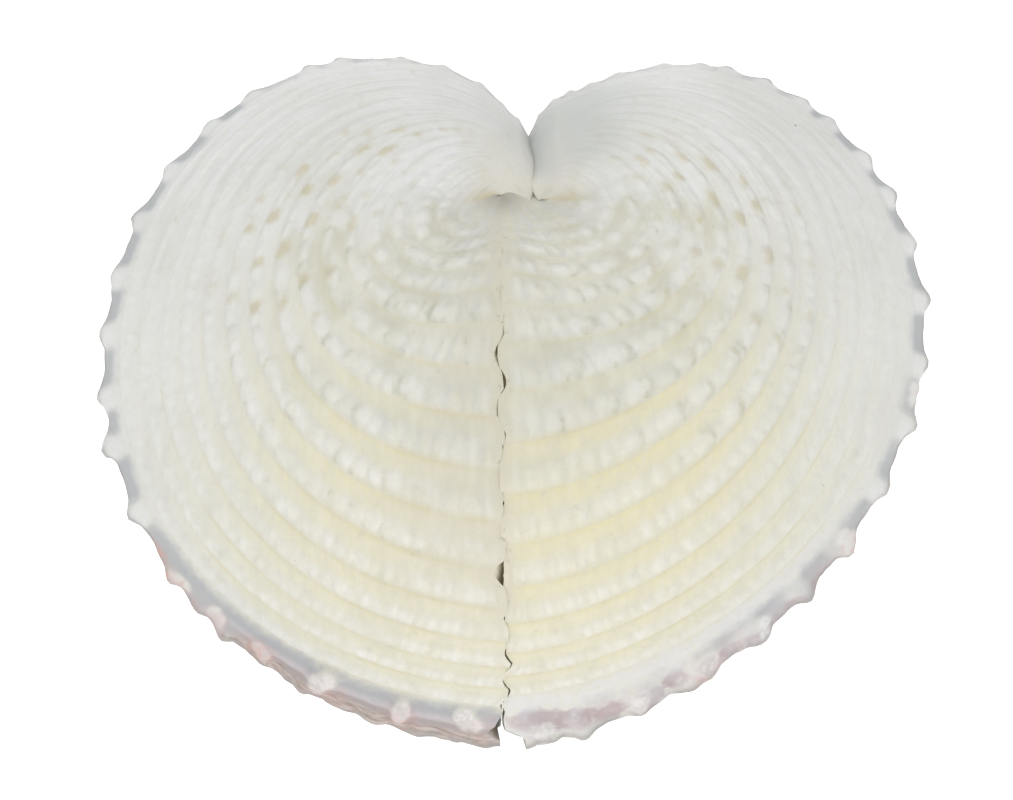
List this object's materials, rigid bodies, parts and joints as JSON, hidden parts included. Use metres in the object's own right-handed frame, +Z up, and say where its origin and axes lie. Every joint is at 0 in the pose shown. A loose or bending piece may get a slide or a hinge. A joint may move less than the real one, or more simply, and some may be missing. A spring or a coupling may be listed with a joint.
{
  "type": "heart cockle shell",
  "caption": "Closed pair of thin keeled cockle valves, heart-shaped from above, ribbed and beaded, white with yellow bands.",
  "frame": {"origin": "under the middle of the shell's bounding box, on the surface it rests on", "axes": "+Z up through the ribbed face with the windows, +Y toward the two lobes and umbones, -Y toward the point, +X to the right valve"},
  "size_m": [0.0604, 0.0502, 0.0235],
  "materials": {
    "left_valve_shell": "satin",
    "right_valve_shell": "satin",
    "ligament_horn": "matt"
  },
  "bodies": {
    "root": {"left_valve": "left_valve_shell", "right_valve": "right_valve_shell", "ligament": "ligament_horn"}
  },
  "joints": []
}
